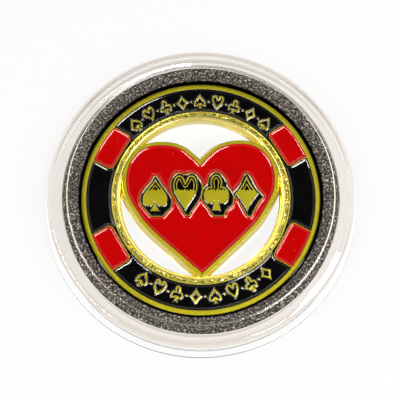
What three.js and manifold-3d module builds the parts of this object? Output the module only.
// Dealer button: a pierced, gold-plated casino medallion with soft-enamel
// fills, gripped by a foam ring inside a clear two-part round capsule.
// Units are millimetres. +Z is up, the origin is the centre of the capsule's
// flat underside, and +Y points to the top of the medallion's design.
// The medallion's front faces +Z.

import * as THREE from 'three';
import { mergeVertices } from 'three/addons/utils/BufferGeometryUtils.js';
import Module from 'manifold-3d';

const wasm = await Module();
wasm.setup();

// ---------------------------------------------------------------- dimensions

const SEGMENTS = 48;            // facets round every turned surface
const GAP = 0.05;               // running gap between separate pieces
const FIT = 0.03;               // gap round each enamel pour

// capsule
const CAPSULE_HEIGHT = 8.85;    // overall, closed
const RIM_RADIUS = 26.5;        // widest flange, on the base
const BODY_RADIUS = 25.3;       // lid skirt and base underside
const RIM_BOTTOM = 1.75;        // flange, lower face
const RIM_TOP = 3.0;            // flange, upper face
const FLOOR_Z = 1.5;            // inside face of the base
const CEILING_Z = 7.2;          // inside face of the lid
const NEST_INNER = 22.88;       // base's upstanding wall, inside
const NEST_OUTER = 24.2;        // base's upstanding wall, outside
const NEST_TOP = 6.3;           // base's upstanding wall, top
const NEST_CHAMFER = 0.25;      // on the wall's outer top edge
const FOOT_CHAMFER = 0.3;       // round the base's underside
const RIM_BEVEL = { inward: 0.25, height: 0.3 };   // on both edges of the flange
const RIM_UNDERCUT = 0.1;       // fall of the flange's underside towards the body
const LID_DISC_RADIUS = 21.85;  // raised flat disc on the lid
const LID_STEP = { outward: 0.15, drop: 0.35 };    // edge of the raised disc
// The lid's shoulder bevel; drops are measured from the top of the capsule.
const LID_SHOULDER = { inward: 0.45, upperDrop: 0.75, lowerDrop: 1.15 };

// foam ring
const FOAM_OUTER = NEST_INNER - GAP;
const FOAM_BOTTOM = FLOOR_Z + GAP;
const FOAM_TOP = 5.7;

// medallion
const COIN_RADIUS = 20.0;
const COIN_THICKNESS = 3.0;
const COIN_Z = 1.95;                         // underside of the medallion
const FACE_Z = COIN_Z + COIN_THICKNESS;      // its upper face
const MID_Z = COIN_Z + COIN_THICKNESS / 2;
const EDGE_BEVEL = { inward: 0.12, drop: 0.15 };
const RIM_INNER = 19.18;                     // flat outer rim
const FIELD_INNER = 15.02;                   // enamel channel, inner side
const LINE_INNER = 14.85;                    // thin raised line
const BAND_INNER = 14.1;                     // flat band, lower than the line
const BAND_DROP = 0.15;
const WINDOW_RADIUS = 13.5;                  // pierced opening
const WINDOW_DROP = 0.65;                    // foot of the slope into the opening
const POCKET_DEPTH = 0.5;                    // recess that holds the enamel
const POCKET_FLOOR = FACE_Z - POCKET_DEPTH;

// enamel
const ENAMEL_DROP = 0.14;                    // enamel sits below the metal
const POUR_BOTTOM = POCKET_FLOOR + FIT;
const POUR_TOP = FACE_Z - ENAMEL_DROP;

// raised metal in the pockets
const WALL = 0.16;                           // thin raised gold outline
const WALL_TOP = FACE_Z - 0.05;              // a little below the rim
const ROOT_BOTTOM = POCKET_FLOOR - 0.2;      // raised metal is sunk into the floor
// Cutters run past the metal they cut.
const CUTTER_BOTTOM = POCKET_FLOOR - 0.4;
const CUTTER_TOP = FACE_Z + 0.5;
const POCKET_CUTTER_TOP = FACE_Z + 1;

// edge spots: four rectangles across the enamel channel
const SPOT_ANGLES = [31, 151, 211, 331];
const SPOT_HALF = 3.5;
const SPOT_INNER = 15.24;
const SPOT_CORNER = 0.9;
// Outer end of each spot outline, all running into or past the flat rim
const SPOT_WALL_END = 19.0;
const SPOT_FILL_END = 19.6;
const SPOT_CLEARANCE_END = 19.8;

// heart plate
const HEART_BORDER = 0.65;
const HEART_WAIST = 0.4;                     // height of the upright part of the edge
const HEART_FLARE = 0.4;                     // waist stands out this far past the faces
const HEART_TURN = 1.1;                      // degrees, anticlockwise
const CLEFT_WEB = 0.26;                      // extra border at the cleft
// Right half of the plate's edge, cleft to tip: x, y
const HEART_HALF = [
  [0, 6.32], [1.47, 7.69], [2.46, 8.52], [3.48, 9.06], [4.48, 9.39], [5.59, 9.58],
  [6.8, 9.64], [8.13, 9.55], [9.47, 9.17], [10.62, 8.52], [11.62, 7.5],
  [12.42, 6.26], [12.88, 4.93], [13.12, 3.5], [13.12, 2.5], [12.98, 1.18],
  [12.63, -0.03], [12.03, -1.29], [11.27, -2.59], [10.45, -3.92], [9.44, -5.23],
  [6.88, -7.79], [4.12, -10.29], [2.14, -12.1], [0, -13.95],
];

// suit emblems across the heart
const SHADOW_X = 0.42;                       // drop shadow of each emblem
const SHADOW_Y = -0.5;
const EMBLEM_SURROUND = 0.34;
const NOTCH_CLOSING = 1.0;                   // grown, then shrunk, by this much
const SHELL_POINTS = 60;
const AREA_POINTS = 26;
// suit, x, y, width, height, divisions per curve
const EMBLEM_TABLE = [
  ['spade', -7.66, 0.15, 4.1, 5.7, 4],
  ['heart', -2.6, 0.45, 4.1, 6.1, 4],
  ['club', 2.6, 0.55, 4.2, 6.3, 4],
  ['diamond', 7.7, 0.35, 3.9, 6.2, 3],
];

// small suit pips round the enamel channel
const PIP_RADIUS = 16.9;
const PIP_HEIGHT = 2.7;
const PIP_WIDTH = 2.05;
const PIP_ORDER = ['spade', 'heart', 'club', 'diamond'];
// Angles in degrees; side is 1 for the top arc (+Y) and -1 for the bottom arc.
const PIP_ARCS = [
  { count: 9, from: 131.5, to: 49.5, side: 1 },
  { count: 8, from: 236, to: 309, side: -1 },
];

// ----------------------------------------------------------------- materials

const clearPlastic = new THREE.MeshStandardMaterial({
  color: 0xf2efea, roughness: 0.06, metalness: 0, transparent: true, opacity: 0.3,
});
const foam = new THREE.MeshStandardMaterial({ color: 0x5c5854, roughness: 0.95, metalness: 0 });
const gold = new THREE.MeshStandardMaterial({ color: 0xb3a23a, roughness: 0.25, metalness: 1 });
const redEnamel = new THREE.MeshStandardMaterial({
  color: 0xc40000, roughness: 0.15, metalness: 0,
});
const blackEnamel = new THREE.MeshStandardMaterial({
  color: 0x050505, roughness: 0.12, metalness: 0,
});

// ------------------------------------------------------------ solid geometry

// Weld a geometry, drop collapsed triangles and face it outwards.
function tidy(source) {
  const bare = source.clone();
  bare.deleteAttribute('normal');
  bare.deleteAttribute('uv');
  const welded = mergeVertices(bare, 1e-4);
  const { position } = welded.attributes;
  const keep = [];
  let volume = 0;
  for (let i = 0; i < welded.index.count; i += 3) {
    const corners = [0, 1, 2].map((k) => welded.index.getX(i + k));
    if (new Set(corners).size < 3) continue;
    keep.push(...corners);
    const [first, second, third] = corners.map(
      (corner) => new THREE.Vector3().fromBufferAttribute(position, corner));
    volume += first.dot(second.cross(third));
  }
  if (volume < 0) {
    for (let i = 0; i < keep.length; i += 3) [keep[i], keep[i + 1]] = [keep[i + 1], keep[i]];
  }
  welded.setIndex(keep);
  return welded;
}

function solid(source) {
  const geometry = tidy(source);
  return new wasm.Manifold(new wasm.Mesh({
    numProp: 3,
    vertProperties: new Float32Array(geometry.attributes.position.array),
    triVerts: new Uint32Array(geometry.index.array),
  }));
}

function geometryOf(manifold) {
  const mesh = manifold.getMesh();
  const positions = new THREE.BufferAttribute(new Float32Array(mesh.vertProperties), 3);
  const geometry = new THREE.BufferGeometry();
  geometry.setAttribute('position', positions);
  geometry.setIndex(Array.from(mesh.triVerts));
  return geometry;
}

// Turn a (radius, z) profile round the Z axis.
function turned(profile) {
  const points = profile.map(([radius, z]) => new THREE.Vector2(radius, z));
  return new THREE.LatheGeometry(points, SEGMENTS).rotateX(Math.PI / 2);
}

// A ring of rectangular section.
function turnedRing(inner, outer, bottom, top) {
  return turned([[inner, bottom], [outer, bottom], [outer, top], [inner, top], [inner, bottom]]);
}

const shapeOf = (points) => new THREE.Shape(points.map(([x, y]) => new THREE.Vector2(x, y)));

function prism(points, bottom, top) {
  const options = { depth: top - bottom, bevelEnabled: false, steps: 1 };
  return new THREE.ExtrudeGeometry(shapeOf(points), options).translate(0, 0, bottom);
}

const solidPrism = (points, bottom, top) => solid(prism(points, bottom, top));

// The medallion's reverse is its front turned half a turn about the Y axis.
const toBack = (geometry) => geometry.clone().rotateY(Math.PI).translate(0, 0, 2 * MID_Z);

// ------------------------------------------------------------ plane outlines

// Turn points anticlockwise about the origin.
function spin(points, degrees) {
  const angle = THREE.MathUtils.degToRad(degrees);
  const [cos, sin] = [Math.cos(angle), Math.sin(angle)];
  return points.map(([x, y]) => [x * cos - y * sin, x * sin + y * cos]);
}

const shift = (points, dx, dy) => points.map(([x, y]) => [x + dx, y + dy]);
const stretch = (points, width, height) => points.map(([x, y]) => [x * width, y * height]);

// Points on a circle, `step` degrees apart.
const arc = (x, y, radius, start, step, count) => Array.from({ length: count }, (_, i) => {
  const angle = THREE.MathUtils.degToRad(start + i * step);
  return [x + radius * Math.cos(angle), y + radius * Math.sin(angle)];
});

function segmentDistance(x, y, [startX, startY], [endX, endY]) {
  const dx = endX - startX;
  const dy = endY - startY;
  // A segment of no length divides by 1 instead of 0.
  const along = ((x - startX) * dx + (y - startY) * dy) / (dx * dx + dy * dy || 1);
  const part = THREE.MathUtils.clamp(along, 0, 1);
  return Math.hypot(x - startX - part * dx, y - startY - part * dy);
}

// Signed distance to one outline, negative inside it.
function outlineDistance(x, y, outline) {
  let nearest = Infinity;
  let isInside = false;
  let previous = outline[outline.length - 1];
  for (const point of outline) {
    nearest = Math.min(nearest, segmentDistance(x, y, previous, point));
    const [x0, y0] = point;
    const [x1, y1] = previous;
    const straddles = (y0 > y) !== (y1 > y);
    if (straddles && x < ((x1 - x0) * (y - y0)) / (y1 - y0) + x0) isInside = !isInside;
    previous = point;
  }
  return isInside ? -nearest : nearest;
}

// Outline at a signed distance from a set of outlines, as seen from a centre.
// Each ray is walked inwards to the first hit, which is then refined by halving.
function around(outlines, offset, [centreX, centreY], count) {
  const reach = 8;
  const step = 0.1;
  const halvings = 24;
  return Array.from({ length: count }, (_, i) => {
    const angle = (2 * Math.PI * i) / count;
    const [rayX, rayY] = [Math.cos(angle), Math.sin(angle)];
    const pointAt = (radius) => [centreX + rayX * radius, centreY + rayY * radius];
    const isWithin = (radius) => {
      const [x, y] = pointAt(radius);
      return outlines.some((outline) => outlineDistance(x, y, outline) <= offset);
    };
    let low = 0;
    for (let radius = reach; radius > 0; radius -= step) {
      if (isWithin(radius)) {
        low = radius;
        break;
      }
    }
    let high = low + step;
    for (let k = 0; k < halvings; k++) {
      const middle = (low + high) / 2;
      if (isWithin(middle)) low = middle;
      else high = middle;
    }
    return pointAt(low);
  });
}

// Move every side of an anticlockwise outline inwards by the same amount;
// a negative amount moves them outwards.
function inset(points, amount) {
  const minimumCosine = 0.35;    // limits the reach at sharp corners
  const count = points.length;
  return points.map(([x, y], i) => {
    const [beforeX, beforeY] = points[(i + count - 1) % count];
    const [afterX, afterY] = points[(i + 1) % count];
    const arriving = new THREE.Vector2(x - beforeX, y - beforeY).normalize();
    const leaving = new THREE.Vector2(afterX - x, afterY - y).normalize();
    const inward = new THREE.Vector2(-arriving.y - leaving.y, arriving.x + leaving.x).normalize();
    const cosine = inward.x * -arriving.y + inward.y * arriving.x;
    const reach = amount / Math.max(minimumCosine, cosine);
    return [x + inward.x * reach, y + inward.y * reach];
  });
}

// ------------------------------------------------------- suit outlines (1 x 1)

// Closed anticlockwise paths: a start point, then one stroke per row.
// Two numbers are a line's end; four and six are a Bezier curve's control
// points followed by its end.
const SUIT_PATHS = {
  heart: [
    [0, -0.5],
    [0.1, -0.3, 0.5, -0.08, 0.5, 0.2],
    [0.5, 0.4, 0.38, 0.5, 0.25, 0.5],
    [0.11, 0.5, 0.02, 0.4, 0, 0.27],
    [-0.02, 0.4, -0.11, 0.5, -0.25, 0.5],
    [-0.38, 0.5, -0.5, 0.4, -0.5, 0.2],
    [-0.5, -0.08, -0.1, -0.3, 0, -0.5],
  ],
  spade: [
    [-0.2, -0.5],
    [0.2, -0.5],
    [0.1, -0.42, 0.06, -0.34, 0.05, -0.22],
    [0.1, -0.32, 0.2, -0.36, 0.28, -0.36],
    [0.42, -0.36, 0.5, -0.26, 0.5, -0.12],
    [0.5, 0.1, 0.1, 0.28, 0, 0.5],
    [-0.1, 0.28, -0.5, 0.1, -0.5, -0.12],
    [-0.5, -0.26, -0.42, -0.36, -0.28, -0.36],
    [-0.2, -0.36, -0.1, -0.32, -0.05, -0.22],
    [-0.06, -0.34, -0.1, -0.42, -0.2, -0.5],
  ],
  diamond: [
    [0, -0.5],
    [0.2, -0.17, 0.5, 0],
    [0.2, 0.17, 0, 0.5],
    [-0.2, 0.17, -0.5, 0],
    [-0.2, -0.17, 0, -0.5],
  ],
};
const STROKES = { 2: 'lineTo', 4: 'quadraticCurveTo', 6: 'bezierCurveTo' };

// The club is the outer line of three lobes, a filler disc and a stem.
const CLUB_LOBE = 0.235;
const CLUB_DISCS = [                         // x, y, radius
  [0, 0.265, CLUB_LOBE], [-0.265, -0.08, CLUB_LOBE], [0.265, -0.08, CLUB_LOBE], [0, 0.03, 0.14],
];
const CLUB_STEM = [                          // x, y
  [-0.17, -0.5], [0.17, -0.5], [0.04, -0.3], [0.03, 0], [-0.03, 0], [-0.04, -0.3],
];
const CLUB_CENTRE = [0, 0.02];
const CLUB_DISC_POINTS = 24;
const CLUB_POINTS_PER_DIVISION = 8;

function clubOutline(divisions) {
  const discs = CLUB_DISCS.map(([x, y, radius]) => (
    arc(x, y, radius, 0, 360 / CLUB_DISC_POINTS, CLUB_DISC_POINTS)));
  return around([...discs, CLUB_STEM], 0, CLUB_CENTRE, divisions * CLUB_POINTS_PER_DIVISION);
}

function suitOutline(suit, divisions) {
  if (suit === 'club') return clubOutline(divisions);
  const [start, ...strokes] = SUIT_PATHS[suit];
  const shape = new THREE.Shape();
  shape.moveTo(...start);
  for (const stroke of strokes) shape[STROKES[stroke.length]](...stroke);
  // The last point repeats the first.
  return shape.getPoints(divisions).slice(0, -1).map(({ x, y }) => [x, y]);
}

// --------------------------------------------------------------- the capsule

function capsuleBase() {
  return tidy(turned([
    [0, 0],
    [BODY_RADIUS - FOOT_CHAMFER, 0],
    [BODY_RADIUS, FOOT_CHAMFER],
    [BODY_RADIUS, RIM_BOTTOM - RIM_UNDERCUT],
    [RIM_RADIUS - RIM_BEVEL.inward, RIM_BOTTOM],
    [RIM_RADIUS, RIM_BOTTOM + RIM_BEVEL.height],
    [RIM_RADIUS, RIM_TOP - RIM_BEVEL.height],
    [RIM_RADIUS - RIM_BEVEL.inward, RIM_TOP],
    [NEST_OUTER, RIM_TOP],
    [NEST_OUTER, NEST_TOP - NEST_CHAMFER],
    [NEST_OUTER - NEST_CHAMFER, NEST_TOP],
    [NEST_INNER, NEST_TOP],
    [NEST_INNER, FLOOR_Z],
    [0, FLOOR_Z],
  ]));
}

function capsuleLid() {
  return tidy(turned([
    [0, CAPSULE_HEIGHT],
    [LID_DISC_RADIUS, CAPSULE_HEIGHT],
    [LID_DISC_RADIUS + LID_STEP.outward, CAPSULE_HEIGHT - LID_STEP.drop],
    [BODY_RADIUS - LID_SHOULDER.inward, CAPSULE_HEIGHT - LID_SHOULDER.upperDrop],
    [BODY_RADIUS, CAPSULE_HEIGHT - LID_SHOULDER.lowerDrop],
    [BODY_RADIUS, RIM_TOP + GAP],
    [NEST_OUTER + GAP, RIM_TOP + GAP],
    [NEST_OUTER + GAP, CEILING_Z],
    [0, CEILING_Z],
  ]));
}

const foamRing = () => tidy(turnedRing(COIN_RADIUS + GAP, FOAM_OUTER, FOAM_BOTTOM, FOAM_TOP));

// ------------------------------------------------------ outlines on the coin

// The plate's edge: from the tip up the right side, then down the left.
const heartPlain = [
  ...HEART_HALF.slice(1).reverse(),
  ...HEART_HALF.slice(0, -1).map(([x, y]) => [-x, y]),
];
const heartOuter = spin(heartPlain, HEART_TURN);

function heartPocketOutline() {
  const pocket = inset(heartPlain, HEART_BORDER);
  const cleft = HEART_HALF.length - 1;
  pocket[cleft][1] -= CLEFT_WEB;
  return spin(pocket, HEART_TURN);
}
const heartInner = heartPocketOutline();

// Edge spot outline at an angle, its inner end and sides grown by `growth`.
function spotOutline(angle, growth, outerEnd) {
  const half = SPOT_HALF + growth;
  const innerEnd = SPOT_INNER - growth;
  const radius = SPOT_CORNER + growth;
  const outline = [
    ...arc(-half + radius, innerEnd + radius, radius, 180, 30, 4),
    ...arc(half - radius, innerEnd + radius, radius, 270, 30, 4),
    [half, outerEnd],
    [-half, outerEnd],
  ];
  return spin(outline, angle - 90);
}

// Each emblem's face, and a shell round the face and its drop shadow. The
// shell is drawn oversize, and emblemArea shrinks it so that notches close.
const emblems = EMBLEM_TABLE.map(([suit, x, y, width, height, divisions]) => {
  const face = shift(stretch(suitOutline(suit, divisions), width, height), x, y);
  const centre = [x + SHADOW_X / 2, y + SHADOW_Y / 2];
  const copies = [0, 0.5, 1].map((part) => shift(face, SHADOW_X * part, SHADOW_Y * part));
  const shell = around(copies, EMBLEM_SURROUND + NOTCH_CLOSING, centre, SHELL_POINTS);
  return { suit, face, centre, shell };
});

const emblemArea = ({ shell, centre }, growth) => (
  around([shell], growth - NOTCH_CLOSING, centre, AREA_POINTS));

function arcPips({ count, from, to, side }) {
  return Array.from({ length: count }, (_, i) => {
    const angle = from + ((to - from) * i) / (count - 1);
    const suit = PIP_ORDER[i % PIP_ORDER.length];
    const unit = suitOutline(suit, suit === 'club' ? 2 : 1);
    const upright = shift(stretch(unit, PIP_WIDTH, PIP_HEIGHT), 0, side * PIP_RADIUS);
    return spin(upright, angle - 90 * side);
  });
}
const smallPips = PIP_ARCS.flatMap(arcPips);

// ----------------------------------------------------------------- coin body

// One side of the ring, from the outer edge inwards; the other side mirrors it.
function coinRing() {
  const upper = [
    [COIN_RADIUS, MID_Z],
    [COIN_RADIUS, FACE_Z - EDGE_BEVEL.drop],
    [COIN_RADIUS - EDGE_BEVEL.inward, FACE_Z],
    [RIM_INNER, FACE_Z],
    [RIM_INNER, POCKET_FLOOR],
    [FIELD_INNER, POCKET_FLOOR],
    [FIELD_INNER, FACE_Z],
    [LINE_INNER, FACE_Z],
    [LINE_INNER, FACE_Z - BAND_DROP],
    [BAND_INNER, FACE_Z - BAND_DROP],
    [WINDOW_RADIUS, FACE_Z - WINDOW_DROP],
  ];
  const lower = upper.slice(1).reverse().map(([radius, z]) => [radius, 2 * MID_Z - z]);
  return solid(turned([...upper, ...lower, upper[0]]));
}

function heartPlate() {
  const flareHeight = (COIN_THICKNESS - HEART_WAIST) / 2;
  return solid(new THREE.ExtrudeGeometry(shapeOf(heartOuter), {
    depth: HEART_WAIST,
    steps: 1,
    bevelEnabled: true,
    bevelThickness: flareHeight,
    bevelSize: HEART_FLARE,
    bevelSegments: 1,
  }).translate(0, 0, COIN_Z + flareHeight));
}

// A thin wall standing in a pocket, between two outlines.
function raisedWall(outer, inner) {
  return solidPrism(outer, ROOT_BOTTOM, WALL_TOP)
    .subtract(solidPrism(inner, CUTTER_BOTTOM, CUTTER_TOP));
}

// Raised metal of the front face.
function raisedMetal() {
  const spotWalls = SPOT_ANGLES.map((angle) => raisedWall(
    spotOutline(angle, 0, SPOT_WALL_END), spotOutline(angle, -WALL, SPOT_FILL_END)));
  const emblemMetal = emblems.flatMap((emblem) => [
    raisedWall(emblemArea(emblem, WALL), emblemArea(emblem, 0)),
    solidPrism(emblem.face, ROOT_BOTTOM, FACE_Z),
  ]);
  const pips = smallPips.map((outline) => solidPrism(outline, ROOT_BOTTOM, WALL_TOP));
  return [...spotWalls, ...emblemMetal, ...pips];
}

function coinBody() {
  const pocket = prism(heartInner, POCKET_FLOOR, POCKET_CUTTER_TOP);
  let metal = coinRing().add(heartPlate());
  metal = metal.subtract(solid(pocket)).subtract(solid(toBack(pocket)));
  for (const part of raisedMetal()) {
    metal = metal.add(part).add(solid(toBack(geometryOf(part))));
  }
  return geometryOf(metal);
}

// -------------------------------------------- enamel pours of the front face

const pour = (outline) => solidPrism(outline, POUR_BOTTOM, POUR_TOP);
const clearance = (outline) => solidPrism(outline, POCKET_FLOOR, FACE_Z);

function ringPour() {
  const outlines = [
    ...SPOT_ANGLES.map((angle) => spotOutline(angle, FIT, SPOT_CLEARANCE_END)),
    ...smallPips.map((outline) => inset(outline, -FIT)),
  ];
  const channel = solid(turnedRing(FIELD_INNER + FIT, RIM_INNER - FIT, POUR_BOTTOM, POUR_TOP));
  return outlines.reduce((field, outline) => field.subtract(clearance(outline)), channel);
}

// Spot fills, trimmed to the round inner side of the rim.
function spotPours() {
  const radius = RIM_INNER - FIT;
  const limit = solid(turned([
    [0, POCKET_FLOOR], [radius, POCKET_FLOOR], [radius, FACE_Z], [0, FACE_Z],
  ]));
  return SPOT_ANGLES.map((angle) => (
    pour(spotOutline(angle, -WALL - FIT, SPOT_FILL_END)).intersect(limit)));
}

function heartPour() {
  return emblems.reduce(
    (fill, emblem) => fill.subtract(clearance(emblemArea(emblem, WALL + FIT))),
    pour(inset(heartInner, FIT)));
}

const shadowPour = (emblem) => (
  pour(emblemArea(emblem, -FIT)).subtract(clearance(inset(emblem.face, -FIT))));

// name, solid, material
const pours = [
  ['black_ring_enamel', ringPour(), blackEnamel],
  ...spotPours().map((fill, i) => [`red_spot_${i + 1}_enamel`, fill, redEnamel]),
  ['heart_enamel', heartPour(), redEnamel],
  ...emblems.map((emblem) => [`${emblem.suit}_shadow_enamel`, shadowPour(emblem), blackEnamel]),
];

// ------------------------------------------------------------------ assembly

function piece(name, geometry, material) {
  const mesh = new THREE.Mesh(geometry, material);
  mesh.name = name;
  return mesh;
}

const capsule = new THREE.Group();
capsule.add(piece('capsule_base', capsuleBase(), clearPlastic));
capsule.add(piece('capsule_lid', capsuleLid(), clearPlastic));
capsule.add(piece('foam_ring', foamRing(), foam));

const medallion = new THREE.Group();
medallion.add(piece('coin_body', coinBody(), gold));
for (const [name, fill, material] of pours) {
  const front = geometryOf(fill);
  medallion.add(piece(`front_${name}`, front, material));
  medallion.add(piece(`back_${name}`, toBack(front), material));
}

const dealerButton = new THREE.Group();
dealerButton.add(capsule, medallion);

export default dealerButton;
